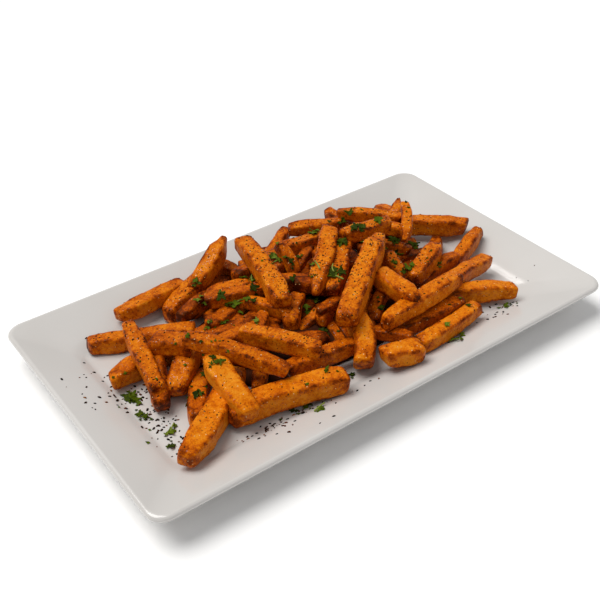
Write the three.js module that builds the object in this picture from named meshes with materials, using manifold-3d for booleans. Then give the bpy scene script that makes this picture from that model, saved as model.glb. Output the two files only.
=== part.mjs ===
// French fries with pepper and parsley, heaped on a white rectangular platter.
// Millimetres, +Z up. The origin is the middle of the platter where its foot stands.
// +X runs along the long side and +Y from the near long side to the far one.
import * as THREE from "three";
import Module from "manifold-3d";
import { mergeVertices } from "three/addons/utils/BufferGeometryUtils.js";

// Platter
const PLATTER_LONG = 310;
const PLATTER_WIDE = 183;
const PLATTER_CORNER = 10;
const RIM_TOP = 21;
const RIM_TILT = THREE.MathUtils.degToRad(20.8);
const LIP_RADIUS = 1.95;
const LIP_STEPS = 6;
const CREASE_INSET = 27;
const WELL_CORNER = 12;
const WELL_FLOOR = 9;
const WELL_WALL = 5;
const FOOT_INSET = 37;
const FOOT_WIDTH = 4;
const FOOT_HEIGHT = 2;
const FOOT_FLARE = { out: 1.5, up: 0.6 };
const FLOOR_EXTRA = 1;
const CREASE_ROUND = { out: 1, in: 0.7, down: 0.6 };
const FLOOR_ROUND = { out: 0.8, in: 1, up: 0.2 };
const CORNER_STEPS = 4;

// Heap
const GAP = 0.35;
const CORE = { x: 6, y: 3, long: 178, wide: 92, tall: 12, around: 28, rings: 4 };
const FRY_CHAMFER = 0.34;
const FRY_STATIONS = [
  [0, 0.7],
  [0.06, 0.96],
  [0.5, 1.02],
  [0.94, 0.95],
  [1, 0.68],
];
const FILL_STATIONS = [
  [0, 0.8],
  [0.5, 1],
  [1, 0.76],
];
const FRY_BOW = 1.6;
const FRY_BOW_TURN = 2.4;
const END_SHARES = [0, 0.15, 0.3, 0.45];

// Fries that only fill the heap between the laid ones and at its far side: long ones, then short bits
const FILL = {
  seed: 41,
  tries: 6000,
  left: -86,
  right: 104,
  near: -44,
  far: 62,
  kinds: [
    { most: 60, shortest: 36, longest: 60, thinnest: 8, thickest: 10.5 },
    { most: 16, shortest: 18, longest: 32, thinnest: 6.5, thickest: 8.5 },
  ],
  steepest: 0.42,
  cap: { x: 10, y: 18, long: 226, wide: 116, tall: 28 },
  clearance: 0.66,
  touch: 0.85,
  sinks: [1.2, 3, 5],
  stations: 12,
  reach: 0.35,
};
const CELL = 2;
const TOP_SHARE = 0.45;

// Each laid fry: the middles of its two ends, x y z and x y z, its thickness, and how far it is bent
// sideways where that is more than a little.
const ON_THE_PLATTER = [
  [-119.5, 55, 14, -63, 27.5, 15, 10],
  [-124, 16.5, 14, -70, 20.5, 14, 11.5],
  [-77, -6, 14, -102, -39, 14, 9.5],
  [-65, -20.5, 15, -123, -63.5, 16, 12],
  [-88.5, -47.5, 14, -22.5, -64, 14, 11.8, 3.5],
  [1, -65, 13, 25, -71, 15, 10.5],
  [81, -58, 14, 28, -65, 15, 9],
  [111.5, -59.5, 14, 67, -36, 17, 10],
  [138, -1.5, 21, 90.5, -20.5, 16, 8.6],
  [100.5, 42, 18, 134.5, 6.5, 20, 10.5],
  [-95, 64, 15, -47.5, 67.5, 19, 9.5],
  [-62, -37, 14, -41, -17, 14, 8],
];
const IN_THE_MIDDLE = [
  [-94, 19, 22, -110.5, -18.5, 14, 11],
  [-18, 70, 20, -10, 38, 17, 7.5],
  [75, -52, 21, 20.5, -46.5, 19, 8],
  [43, -20, 29, 20, -35, 20, 7.5],
  [-77.5, 6.5, 24, -101, -13.5, 14, 12],
  [-46, -40, 21, 0, -45.5, 21, 9],
  [26, -65.5, 24, 10, -38, 20, 6.5],
  [9, -27, 28, -7.5, -59, 14, 13, 2.5],
  [100, -20, 25, 64, -22, 22, 8.5],
  [120, -26.5, 18, 70, -38, 26, 9],
  [33.5, 71, 26, 4.5, 56.5, 20, 7.5],
  [-22, 68, 21, -70, 50, 15, 11.2],
  [-46, 41, 24, -21, 33, 26, 8.5],
  [66, 70, 28, 69, 46, 25, 7.5],
  [101, 60, 23, 102, 39, 27, 7],
  [106.5, 44, 36, 82, 29, 23, 8.5],
  [35, -9, 24, 15, -37, 17, 9],
  [1, -15, 18, -3, -39, 14, 7],
  [-32, 20, 27, -17, -7, 26, 7.5],
  [-4, 5.5, 27, -22, -12, 22, 10.5],
  [1, -9, 23, -17, -11, 17, 6.5],
];
const ON_TOP = [
  [-99, 40, 30, -109, -13, 22, 9],
  [29.5, 64, 31, 62.5, 49, 30, 8],
  [-96, 15, 30, -81, -1, 31, 10],
  [-77, -10, 32, -80, -58.5, 21, 11.3],
  [-86, -3, 40, -49.5, -48, 28, 8.5],
  [-53, -6, 31, -26, -46, 29, 9.5],
  [79, -43, 31, 15.5, -49, 30, 9.5],
  [89.5, -11.5, 33, 57, -24, 28, 10],
  [39, -15, 36, 40.5, -50, 35, 10.5],
  [63, 55, 35, 93, 24, 34, 7],
  [73, 31, 33, 85, 12, 33, 7.5],
  [9, 45, 33, 43, 43, 31, 9],
  [7, 42, 40, 7, 24, 27, 7],
  [56, -2, 37, 55, -22, 27, 8],
  [-48, 55, 21, -14, 70, 40, 10.2],
  [-8.5, 59.5, 40, -21, -4, 34, 11],
  [55, 1.5, 48, -5, -41, 35, 12.5],
  [37, 28, 45, -3, -9, 36, 10.5],
  [41, 19, 41, 7, -13, 34, 9.5],
  [37, 16, 47, 73, 14, 44, 8.5],
  [96, 26, 42, 74.5, 2, 35.5, 8],
];

// Parsley: each leaf's middle, x and y, the height that it lies below, and half its width
const LEAF_THICK = 0.9;
const LEAF_LIFT = 0.1;
const LEAF_POINTS = 7;
const LEAF_WAVE = 0.16;
const LEAF_LOBES = 3;
const LEAF_NOTCH = 0.24;
const LEAF_TURN = 1.9;
const LEAVES_ON_FRIES = [
  [76, 13, 33, 3],
  [49, 13, 52, 3],
  [-44, 28, 27, 3],
  [-50, 17, 23, 3],
  [-37, 22, 29, 3],
  [-33, 18, 33, 3],
  [-49, 40, 25, 3],
  [-26, 21, 33, 3],
  [3, 43, 34, 3],
  [4, 37, 35, 3],
  [-3, 12, 36, 3],
  [35, 43, 39, 3.5],
  [60, 32, 24, 3],
  [34, 14, 48, 3],
  [13, -6, 43, 3.5],
  [18, -7, 44, 3],
  [4, 1, 23, 3],
  [-5, -7, 27, 3],
  [75, 4, 26, 3],
  [91, 11, 22, 3],
  [58, -21, 36, 3.5],
  [68, -56, 28, 3],
  [-94, -25, 22, 3],
  [61, 47, 36, 2.5],
  [-78, -26, 38, 2.5],
  [-40, -4, 33, 2.5],
];
// On the platter a leaf has no other height than the platter's.
const LEAVES_ON_PLATTER = [
  [-117, 2, 3],
  [-120, 6, 3],
  [-120, -10, 3],
  [-114, -32, 3],
  [-119, -42, 2.5],
  [-44, -69.5, 2.5],
  [51, -70.5, 2.5],
  [101, -63, 2.5],
];

const MERGE = 1e-4;
const wasm = await Module();
wasm.setup();

function randomFrom(seed) {
  let state = seed >>> 0;
  return () => {
    state = (Math.imul(state, 1664525) + 1013904223) >>> 0;
    return state / 4294967296;
  };
}

// A closed solid from rings of points that all run the same way round, and an end point at each side.
function skin(rings, first, last) {
  const count = rings[0].length;
  const points = [first, ...rings.flat(), last];
  const faces = [];
  for (let k = 0; k < count; k++) {
    const next = (k + 1) % count;
    faces.push(0, 1 + next, 1 + k);
    for (let r = 0; r + 1 < rings.length; r++) {
      const here = 1 + r * count;
      const there = here + count;
      faces.push(here + k, here + next, there + next);
      faces.push(here + k, there + next, there + k);
    }
    const end = 1 + (rings.length - 1) * count;
    faces.push(end + k, end + next, points.length - 1);
  }
  const geometry = new THREE.BufferGeometry().setFromPoints(points);
  geometry.setIndex(faces);
  return geometry;
}

function solid(geometry) {
  const bare = geometry.clone();
  bare.deleteAttribute("normal");
  bare.deleteAttribute("uv");
  const merged = mergeVertices(bare, MERGE);
  const mesh = new wasm.Mesh({
    numProp: 3,
    vertProperties: merged.attributes.position.array,
    triVerts: new Uint32Array(merged.index.array),
  });
  return new wasm.Manifold(mesh);
}

function geometryOf(body) {
  const mesh = body.getMesh();
  const positions = [];
  for (let i = 0; i < mesh.numVert; i++) {
    const at = i * mesh.numProp;
    positions.push(...mesh.vertProperties.subarray(at, at + 3));
  }
  const geometry = new THREE.BufferGeometry();
  geometry.setAttribute("position", new THREE.Float32BufferAttribute(positions, 3));
  geometry.setIndex([...mesh.triVerts]);
  geometry.computeVertexNormals();
  return geometry;
}

// One level line of the platter: a rectangle with round corners, a given way in from the outer edge.
function platterRing(inset, z) {
  const along = Math.min(inset / CREASE_INSET, 1);
  const radius = THREE.MathUtils.lerp(PLATTER_CORNER - LIP_RADIUS * along, WELL_CORNER, along);
  const ring = [];
  for (const [sx, sy, from] of [
    [1, 1, 0],
    [-1, 1, 90],
    [-1, -1, 180],
    [1, -1, 270],
  ]) {
    const x = sx * (PLATTER_LONG / 2 - inset - radius);
    const y = sy * (PLATTER_WIDE / 2 - inset - radius);
    for (let k = 0; k <= CORNER_STEPS; k++) {
      const angle = THREE.MathUtils.degToRad(from + (90 * k) / CORNER_STEPS);
      ring.push(new THREE.Vector3(x + radius * Math.cos(angle), y + radius * Math.sin(angle), z));
    }
  }
  return ring;
}

const LIP_Z = RIM_TOP - LIP_RADIUS;
const SLOPE_TOP = LIP_Z + LIP_RADIUS * Math.cos(RIM_TILT);
const SLOPE_INSET = LIP_RADIUS * (1 + Math.sin(RIM_TILT));
const CREASE_Z = SLOPE_TOP - (CREASE_INSET - SLOPE_INSET) * Math.tan(RIM_TILT);

// The platter's upper surface at a place.
function platterTop(x, y) {
  const inset = Math.min(PLATTER_LONG / 2 - Math.abs(x), PLATTER_WIDE / 2 - Math.abs(y));
  if (inset >= CREASE_INSET + WELL_WALL) return WELL_FLOOR;
  if (inset >= CREASE_INSET) {
    return CREASE_Z - ((inset - CREASE_INSET) / WELL_WALL) * (CREASE_Z - WELL_FLOOR);
  }
  return CREASE_Z + (CREASE_INSET - inset) * Math.tan(RIM_TILT);
}

function wellRings(raise) {
  return [
    platterRing(CREASE_INSET - CREASE_ROUND.out, CREASE_Z + CREASE_ROUND.out * Math.tan(RIM_TILT) + raise),
    platterRing(CREASE_INSET + CREASE_ROUND.in, CREASE_Z - CREASE_ROUND.down + raise),
    platterRing(CREASE_INSET + WELL_WALL - FLOOR_ROUND.out, WELL_FLOOR + FLOOR_ROUND.up + raise),
    platterRing(CREASE_INSET + WELL_WALL + FLOOR_ROUND.in, WELL_FLOOR + raise),
  ];
}

function platter() {
  const thick = 2 * LIP_RADIUS;
  const rings = [
    platterRing(FOOT_INSET + FOOT_WIDTH, FOOT_HEIGHT),
    platterRing(FOOT_INSET + FOOT_WIDTH, 0),
    platterRing(FOOT_INSET, 0),
    platterRing(FOOT_INSET - FOOT_FLARE.out, FOOT_HEIGHT + FOOT_FLARE.up),
    platterRing(CREASE_INSET + WELL_WALL, WELL_FLOOR - thick - FLOOR_EXTRA),
    platterRing(CREASE_INSET + CREASE_ROUND.out, CREASE_Z - thick),
  ];
  const start = -Math.PI / 2 + RIM_TILT;
  for (let k = 0; k <= LIP_STEPS; k++) {
    const angle = start + (Math.PI * k) / LIP_STEPS;
    rings.push(platterRing(LIP_RADIUS * (1 - Math.cos(angle)), LIP_Z + LIP_RADIUS * Math.sin(angle)));
  }
  rings.push(...wellRings(0));
  const under = new THREE.Vector3(0, 0, FOOT_HEIGHT);
  const over = new THREE.Vector3(0, 0, WELL_FLOOR);
  return skin(rings, under, over);
}

// Everything that lies lower than a small gap above the platter's upper surface.
function underFood() {
  const rings = [
    platterRing(0, 0),
    platterRing(0, RIM_TOP + GAP),
    platterRing(SLOPE_INSET, SLOPE_TOP + GAP),
    ...wellRings(GAP),
  ];
  const under = new THREE.Vector3(0, 0, 0);
  const over = new THREE.Vector3(0, 0, WELL_FLOOR + GAP);
  return skin(rings, under, over);
}

// The heap's inside: a low mound, hardly seen between the fries.
function coreHeight(x, y) {
  const u = (x - CORE.x) / (CORE.long / 2);
  const v = (y - CORE.y) / (CORE.wide / 2);
  const level = 1 - u * u - v * v;
  return level > 0 ? WELL_FLOOR + CORE.tall * Math.sqrt(level) : 0;
}

function core() {
  const rings = [];
  for (let r = 0; r < CORE.rings; r++) {
    const lean = (Math.PI / 2) * (r / CORE.rings);
    const ring = [];
    for (let k = 0; k < CORE.around; k++) {
      const angle = (2 * Math.PI * k) / CORE.around;
      const x = CORE.x + (CORE.long / 2) * Math.cos(lean) * Math.cos(angle);
      const y = CORE.y + (CORE.wide / 2) * Math.cos(lean) * Math.sin(angle);
      ring.push(new THREE.Vector3(x, y, WELL_FLOOR + GAP + (CORE.tall - GAP) * Math.sin(lean)));
    }
    rings.push(ring);
  }
  const under = new THREE.Vector3(CORE.x, CORE.y, WELL_FLOOR + GAP);
  const top = new THREE.Vector3(CORE.x, CORE.y, WELL_FLOOR + CORE.tall);
  return skin(rings, under, top);
}

// A fry lifted, where it has to be, until no edge of it dips into the platter.
function laid([ax, ay, az, bx, by, bz, thick, bend = 0]) {
  const a = new THREE.Vector3(ax, ay, az);
  const b = new THREE.Vector3(bx, by, bz);
  const aside = new THREE.Vector3(ay - by, bx - ax, 0).setLength(thick / 2);
  for (const [end, other] of [
    [a, b],
    [b, a],
  ]) {
    for (const share of END_SHARES) {
      for (const side of [-1, 1]) {
        const p = end.clone().lerp(other, share).addScaledVector(aside, side);
        const lack = platterTop(p.x, p.y) + GAP + thick / 2 - p.z;
        if (lack > 0) end.z += lack;
      }
    }
  }
  return { a, b, thick, bend };
}

// A square bar with chamfered edges, narrower at its ends and a little bowed.
function fry({ a, b, thick }, bow, stations, chamfer) {
  const along = b.clone().sub(a).normalize();
  const aside = new THREE.Vector3(-along.y, along.x, 0).normalize();
  const up = along.clone().cross(aside);
  if (up.z < 0) up.negate();
  const half = thick / 2;
  const cut = half * (1 - chamfer);
  const corners = [
    [1, 1],
    [-1, 1],
    [-1, -1],
    [1, -1],
  ];
  const section = corners.flatMap(([s, h]) => {
    if (chamfer === 0) return [[s * half, h * half]];
    const pair = [
      [s * half, h * cut],
      [s * cut, h * half],
    ];
    return s === h ? pair : pair.reverse();
  });
  const rings = stations.map(([share, size]) => {
    const middle = a.clone().lerp(b, share);
    middle.addScaledVector(aside, bow * 4 * share * (1 - share));
    return section.map(([s, h]) =>
      middle.clone().addScaledVector(aside, s * size).addScaledVector(up, h * size),
    );
  });
  return skin(rings, a.clone(), b.clone());
}

const bowOf = (index) => FRY_BOW * Math.sin(FRY_BOW_TURN * index);

// The shortest way between the middle lines of two fries.
function apart(p, q) {
  const d1 = p.b.clone().sub(p.a);
  const d2 = q.b.clone().sub(q.a);
  const r = p.a.clone().sub(q.a);
  const a = d1.dot(d1);
  const b = d1.dot(d2);
  const c = d1.dot(r);
  const e = d2.dot(d2);
  const f = d2.dot(r);
  const clamp = (value) => Math.min(Math.max(value, 0), 1);
  let s = clamp((b * f - c * e) / Math.max(a * e - b * b, 1e-9));
  const t = clamp((b * s + f) / e);
  s = clamp((b * t - c) / a);
  return p.a.clone().addScaledVector(d1, s).distanceTo(q.a.clone().addScaledVector(d2, t));
}

// The fill stays under a low dome, so that it hides none of the laid fries.
function overCap({ a, b, thick }, share) {
  const p = a.clone().lerp(b, share);
  const u = (p.x - FILL.cap.x) / (FILL.cap.long / 2);
  const v = (p.y - FILL.cap.y) / (FILL.cap.wide / 2);
  const level = 1 - u * u - v * v;
  return level < 0 || p.z + thick / 2 > WELL_FLOOR + FILL.cap.tall * Math.sqrt(level);
}

// The fill: each fry is dropped on what lies below it and kept where it is clear of the laid fries.
function fill(fries) {
  const columns = Math.floor(PLATTER_LONG / CELL);
  const rows = Math.floor(PLATTER_WIDE / CELL);
  const middleOf = (i, j) => [
    (i + 0.5) * CELL - PLATTER_LONG / 2,
    (j + 0.5) * CELL - PLATTER_WIDE / 2,
  ];
  const baseOf = (x, y) => Math.max(platterTop(x, y), coreHeight(x, y));
  const field = Array.from({ length: columns }, (_, i) =>
    Array.from({ length: rows }, (_, j) => baseOf(...middleOf(i, j))),
  );
  const heightAt = (x, y) => {
    const i = Math.floor((x + PLATTER_LONG / 2) / CELL);
    const j = Math.floor((y + PLATTER_WIDE / 2) / CELL);
    return field[i][j];
  };
  const random = randomFrom(FILL.seed);
  const between = (low, high) => low + (high - low) * random();
  const added = [];

  // One fry tried at a random place and turn, or nothing where it doesn't fit.
  const tried = (kind) => {
    const x = Math.round(between(FILL.left, FILL.right));
    const y = Math.round(between(FILL.near, FILL.far));
    const turn = between(0, Math.PI);
    const half = between(kind.shortest, kind.longest) / 2;
    const thick = between(kind.thinnest, kind.thickest);
    const ux = Math.cos(turn);
    const uy = Math.sin(turn);
    const stations = [];
    for (let k = 0; k < FILL.stations; k++) {
      const t = ((k + 0.5) / FILL.stations) * 2 - 1;
      const px = x + ux * half * t;
      const py = y + uy * half * t;
      const sides = [-FILL.reach, 0, FILL.reach];
      const across = sides.map((s) => heightAt(px - uy * thick * s, py + ux * thick * s));
      stations.push([t, Math.max(...across)]);
    }
    let best = { middle: -1, slope: 0 };
    for (const [t, low] of stations.slice(0, FILL.stations / 2)) {
      for (const [u, high] of stations.slice(FILL.stations / 2)) {
        const slope = (high - low) / (u - t);
        const middle = low - slope * t;
        if (middle > best.middle) best = { middle, slope };
      }
    }
    const dx = ux * half;
    const dy = uy * half;
    const sunk = (sink) => {
      const z = best.middle + thick / 2 - sink;
      return laid([x - dx, y - dy, z - best.slope, x + dx, y + dy, z + best.slope, thick]);
    };
    const clear = (one) => fries.every((o) => apart(one, o) > (FILL.clearance * (thick + o.thick)) / 2);
    const one = FILL.sinks.map(sunk).find(clear);
    if (!one || Math.abs(best.slope) / half > FILL.steepest) return null;
    if ([0, 0.5, 1].some((share) => overCap(one, share))) return null;
    const touches = (o) => apart(one, o) < (FILL.touch * (thick + o.thick)) / 2;
    return coreHeight(x, y) > 0 || [...fries, ...added].some(touches) ? one : null;
  };

  // The field of heights rises where a fry lies.
  const raise = ({ a, b, thick }) => {
    const run = new THREE.Vector2(b.x - a.x, b.y - a.y);
    for (let i = 0; i < columns; i++) {
      for (let j = 0; j < rows; j++) {
        const [x, y] = middleOf(i, j);
        const from = new THREE.Vector2(x - a.x, y - a.y);
        const share = from.dot(run) / run.lengthSq();
        const off = Math.abs(from.cross(run)) / run.length();
        if (share < 0 || share > 1 || off > thick * TOP_SHARE) continue;
        field[i][j] = Math.max(field[i][j], a.z + (b.z - a.z) * share + thick / 2);
      }
    }
  };

  for (const kind of FILL.kinds) {
    const enough = added.length + kind.most;
    for (let n = 0; n < FILL.tries && added.length < enough; n++) {
      const one = tried(kind);
      if (!one) continue;
      added.push(one);
      raise(one);
    }
  }
  return added;
}

// The highest surface of the heap at a place that lies lower than a given height.
function heapTop(fries, x, y, high) {
  let top = coreHeight(x, y);
  for (const { a, b, thick } of fries) {
    const run = new THREE.Vector2(b.x - a.x, b.y - a.y);
    const from = new THREE.Vector2(x - a.x, y - a.y);
    const share = from.dot(run) / run.lengthSq();
    const off = Math.abs(from.cross(run)) / run.length();
    if (share < 0 || share > 1 || off > thick * TOP_SHARE) continue;
    const here = a.z + (b.z - a.z) * share + thick / 2;
    if (here < high) top = Math.max(top, here);
  }
  return top;
}

// A three-lobed leaf, thin and wavy, over the surface that the function under gives.
function leaf(x, y, size, index, under) {
  const turn = index * LEAF_TURN;
  const middle = new THREE.Vector3(x, y, under(x, y) + LEAF_LIFT);
  const faceRing = (raise) => {
    const ring = [];
    for (let k = 0; k < LEAF_POINTS; k++) {
      const angle = (2 * Math.PI * k) / LEAF_POINTS;
      const reach = size * (1 - LEAF_NOTCH + LEAF_NOTCH * Math.cos(LEAF_LOBES * angle));
      const px = x + reach * Math.cos(angle + turn);
      const py = y + reach * Math.sin(angle + turn);
      const wave = size * LEAF_WAVE * Math.sin(2 * angle + turn);
      ring.push(new THREE.Vector3(px, py, under(px, py) + LEAF_LIFT + wave + raise));
    }
    return ring;
  };
  const half = LEAF_THICK / 2;
  const low = middle.clone().setZ(middle.z - half);
  const high = middle.clone().setZ(middle.z + half);
  return skin([faceRing(-half), faceRing(half)], low, high);
}

function heap() {
  const shown = [...ON_THE_PLATTER, ...IN_THE_MIDDLE, ...ON_TOP].map(laid);
  const hidden = fill(shown);
  const bodies = [
    solid(core()),
    ...shown.map((one, index) => solid(fry(one, one.bend + bowOf(index), FRY_STATIONS, FRY_CHAMFER))),
    ...hidden.map((one) => solid(fry(one, 0, FILL_STATIONS, 0))),
    ...LEAVES_ON_FRIES.map(([x, y, high, size], index) => {
      const z = heapTop([...shown, ...hidden], x, y, high);
      return solid(leaf(x, y, size, index, () => z));
    }),
  ];
  const pieces = wasm.Manifold.union(bodies).subtract(solid(underFood())).decompose();
  return pieces.reduce((most, piece) => (piece.volume() > most.volume() ? piece : most));
}

function dish() {
  const leafOf = ([x, y, size], index) => solid(leaf(x, y, size, index, platterTop));
  const leaves = LEAVES_ON_PLATTER.map(leafOf);
  return wasm.Manifold.union([solid(platter()), ...leaves]);
}

function named(name, geometry, material) {
  const mesh = new THREE.Mesh(geometry, material);
  mesh.name = name;
  return mesh;
}

const glaze = new THREE.MeshStandardMaterial({ color: 0xe3e0dc, roughness: 0.22, metalness: 0 });
const crust = new THREE.MeshStandardMaterial({ color: 0xd9790f, roughness: 0.55, metalness: 0 });

const group = new THREE.Group();
group.add(named("platter", geometryOf(dish()), glaze));
group.add(named("fries", geometryOf(heap()), crust));

export default group;
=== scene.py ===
import math

import bpy
import numpy as np
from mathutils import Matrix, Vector
from mathutils.bvhtree import BVHTree


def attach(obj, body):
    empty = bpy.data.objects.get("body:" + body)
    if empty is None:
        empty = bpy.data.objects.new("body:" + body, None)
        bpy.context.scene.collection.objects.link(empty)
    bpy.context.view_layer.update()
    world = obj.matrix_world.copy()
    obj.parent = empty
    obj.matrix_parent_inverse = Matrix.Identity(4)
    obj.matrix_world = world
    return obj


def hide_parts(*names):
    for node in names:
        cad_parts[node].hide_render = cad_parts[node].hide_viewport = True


# French fries with parsley and pepper on a white platter.
# Sizes are in millimetres here and become metres when a mesh is made.

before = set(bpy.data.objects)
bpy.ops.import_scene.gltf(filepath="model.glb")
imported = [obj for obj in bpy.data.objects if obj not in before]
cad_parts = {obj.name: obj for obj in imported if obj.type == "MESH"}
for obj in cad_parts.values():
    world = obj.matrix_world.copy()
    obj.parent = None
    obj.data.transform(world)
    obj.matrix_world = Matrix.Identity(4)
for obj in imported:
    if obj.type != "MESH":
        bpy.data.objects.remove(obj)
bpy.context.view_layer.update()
scene = bpy.context.scene
mm = 0.001


# the camera, at the photograph's viewing angle
view = {
    "azimuth": -34.8346,  # degrees round the platter, 0 looks along +Y
    "elevation": 36.2270,
    "roll": 1.8423,
    "place": (-260.36, -363.92, 353.01),
    "lens": 56.378,
    "sensor": 36,
    "clip": (0.02, 20),  # in metres
}


def makeCamera():
    a = math.radians(view["azimuth"])
    e = math.radians(view["elevation"])
    r = math.radians(view["roll"])
    back = Vector((math.sin(a) * math.cos(e), -math.cos(a) * math.cos(e), math.sin(e)))
    right = Vector((math.cos(a), math.sin(a), 0))
    up = back.cross(right)
    x = right * math.cos(r) - up * math.sin(r)
    y = right * math.sin(r) + up * math.cos(r)
    data = bpy.data.cameras.new("camera")
    data.lens = view["lens"]
    data.sensor_width = view["sensor"]
    data.clip_start, data.clip_end = view["clip"]
    camera = bpy.data.objects.new("camera", data)
    scene.collection.objects.link(camera)
    matrix = camera.matrix_world.copy()
    for row in range(3):
        matrix[row][0], matrix[row][1], matrix[row][2] = x[row], y[row], back[row]
        matrix[row][3] = view["place"][row] * mm
    camera.matrix_world = matrix
    scene.camera = camera


lights = {
    "sky": 0.34,
    "key": {"from": (-250, 300, 860), "strength": 2.7, "angle": 42, "colour": (1, 0.985, 0.96)},
    "fill": {"from": (300, -700, 700), "strength": 0.25, "angle": 60, "colour": (0.97, 0.985, 1)},
}


def makeLights():
    world = bpy.data.worlds.new("studio")
    world.use_nodes = True
    world.node_tree.nodes["Background"].inputs["Color"].default_value = (1, 1, 1, 1)
    world.node_tree.nodes["Background"].inputs["Strength"].default_value = lights["sky"]
    scene.world = world
    for name in ("key", "fill"):
        given = lights[name]
        data = bpy.data.lights.new(name, "SUN")
        data.energy = given["strength"]
        data.angle = math.radians(given["angle"])
        data.color = given["colour"]
        light = bpy.data.objects.new(name, data)
        scene.collection.objects.link(light)
        light.location = Vector(given["from"]) * mm
        light.rotation_euler = (-light.location).to_track_quat("-Z", "Y").to_euler()


makeCamera()
makeLights()
scene.view_settings.view_transform = "Standard"
print("camera and lights made")


def setStops(ramp, stops):
    while len(ramp.elements) < len(stops):
        ramp.elements.new(0.5)
    for element, (place, colour) in zip(ramp.elements, stops):
        element.position = place
        element.color = (*colour, 1)


def newNode(tree, kind, settings=None, sockets=None):
    made = tree.nodes.new(kind)
    for key, value in (settings or {}).items():
        if key == "stops":
            setStops(made.color_ramp, value)
        else:
            setattr(made, key, value)
    for key, value in (sockets or {}).items():
        if isinstance(value, bpy.types.NodeSocket):
            tree.links.new(value, made.inputs[key])
        else:
            made.inputs[key].default_value = value
    return made


class Number:
    # a number socket in a material, on which Python's own signs work
    def __init__(self, shade, socket):
        self.shade = shade
        self.socket = socket

    def maths(self, operation, *values):
        sockets = dict(enumerate(values))
        return self.shade.node("ShaderNodeMath", {"operation": operation}, sockets)

    def __add__(self, other):
        return self.maths("ADD", self, other)

    def __radd__(self, other):
        return self.maths("ADD", other, self)

    def __sub__(self, other):
        return self.maths("SUBTRACT", self, other)

    def __rsub__(self, other):
        return self.maths("SUBTRACT", other, self)

    def __mul__(self, other):
        return self.maths("MULTIPLY", self, other)

    def __rmul__(self, other):
        return self.maths("MULTIPLY", other, self)

    def __lt__(self, other):
        return self.maths("LESS_THAN", self, other)

    def __gt__(self, other):
        return self.maths("GREATER_THAN", self, other)

    def step(self, low, high):
        settings = {"interpolation_type": "SMOOTHSTEP"}
        sockets = {"Value": self, "From Min": low, "From Max": high}
        return self.shade.node("ShaderNodeMapRange", settings, sockets)


class Shade:
    def __init__(self, name):
        self.material = bpy.data.materials.new(name)
        self.material.use_nodes = True
        self.tree = self.material.node_tree
        self.tree.nodes.clear()

    def node(self, kind, settings=None, sockets=None, output=0):
        plain = dict(sockets or {})
        for key, value in plain.items():
            if isinstance(value, Number):
                plain[key] = value.socket
        made = newNode(self.tree, kind, settings, plain)
        return Number(self, made.outputs[output])

    def coordinates(self):
        return self.node("ShaderNodeTexCoord", output="Object")

    def attribute(self, name):
        return self.node("ShaderNodeAttribute", {"attribute_name": name}, output="Fac")

    def noise(self, size, detail=2, rough=0.5, twist=0.0):
        sockets = {"Vector": self.coordinates(), "Scale": 1 / (size * mm), "Detail": detail}
        sockets["Roughness"] = rough
        sockets["Distortion"] = twist
        return self.node("ShaderNodeTexNoise", None, sockets)

    def cells(self, size):
        sockets = {"Vector": self.coordinates(), "Scale": 1 / (size * mm)}
        near = self.node("ShaderNodeTexVoronoi", None, sockets, "Distance")
        colour = Number(self, near.socket.node.outputs["Color"])
        draw = self.node("ShaderNodeSeparateColor", None, {"Color": colour}, "Red")
        return near, draw

    def mix(self, factor, one, other):
        settings = {"data_type": "RGBA"}
        made = self.node("ShaderNodeMix", settings, {"Factor": factor}).socket.node
        for key, value in (("A", one), ("B", other)):
            socket = [s for s in made.inputs if s.name == key and s.type == "RGBA"][0]
            if isinstance(value, Number):
                self.tree.links.new(value.socket, socket)
            else:
                socket.default_value = (*value, 1)
        return Number(self, [s for s in made.outputs if s.type == "RGBA"][0])

    def ramp(self, factor, stops):
        return self.node("ShaderNodeValToRGB", {"stops": stops}, {"Fac": factor})

    def finish(self, sockets, height=None, depth=0.3, strength=1.0):
        if height is not None:
            bump = {"Height": height, "Distance": depth * mm, "Strength": strength}
            sockets["Normal"] = self.node("ShaderNodeBump", None, bump)
        surface = self.node("ShaderNodeBsdfPrincipled", None, sockets)
        newNode(self.tree, "ShaderNodeOutputMaterial", None, {"Surface": surface.socket})
        return self.material


def meshObject(name, points, faces, material, attributes=None):
    mesh = bpy.data.meshes.new(name)
    mesh.from_pydata((np.asarray(points) * mm).tolist(), [], faces)
    if material is not None:
        mesh.materials.append(material)
    for key, values in (attributes or {}).items():
        made = mesh.attributes.new(key, "FLOAT", "POINT")
        made.data.foreach_set("value", np.asarray(values, np.float32))
    mesh.shade_smooth()
    made = bpy.data.objects.new(name, mesh)
    scene.collection.objects.link(made)
    return made


def ringFaces(rings, around, start=0):
    # quads between rings of points, a fan to the point before the first ring and to the one after the last
    faces = []
    first = start
    last = start + 1 + rings * around
    for k in range(around):
        n = (k + 1) % around
        faces.append((first, first + 1 + n, first + 1 + k))
        for r in range(rings - 1):
            here = first + 1 + r * around
            faces.append((here + k, here + n, here + around + n, here + around + k))
        here = first + 1 + (rings - 1) * around
        faces.append((here + k, here + n, last))
    return faces


def smooth(t):
    return t * t * (3 - 2 * t)


lattice = np.random.default_rng(40).random((32, 32, 32))


def softNoise(points, size):
    # smooth noise from -1 to 1, whose hills are about the given size across
    p = np.asarray(points, float) / size
    base = np.floor(p).astype(int)
    f = smooth(p - base)
    total = np.zeros(p.shape[:-1])
    for corner in range(8):
        step = np.array([corner & 1, (corner >> 1) & 1, (corner >> 2) & 1])
        where = (base + step) % 32
        weight = np.prod(np.where(step == 1, f, 1 - f), axis=-1)
        total += weight * lattice[where[..., 0], where[..., 1], where[..., 2]]
    return total * 2 - 1


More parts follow.
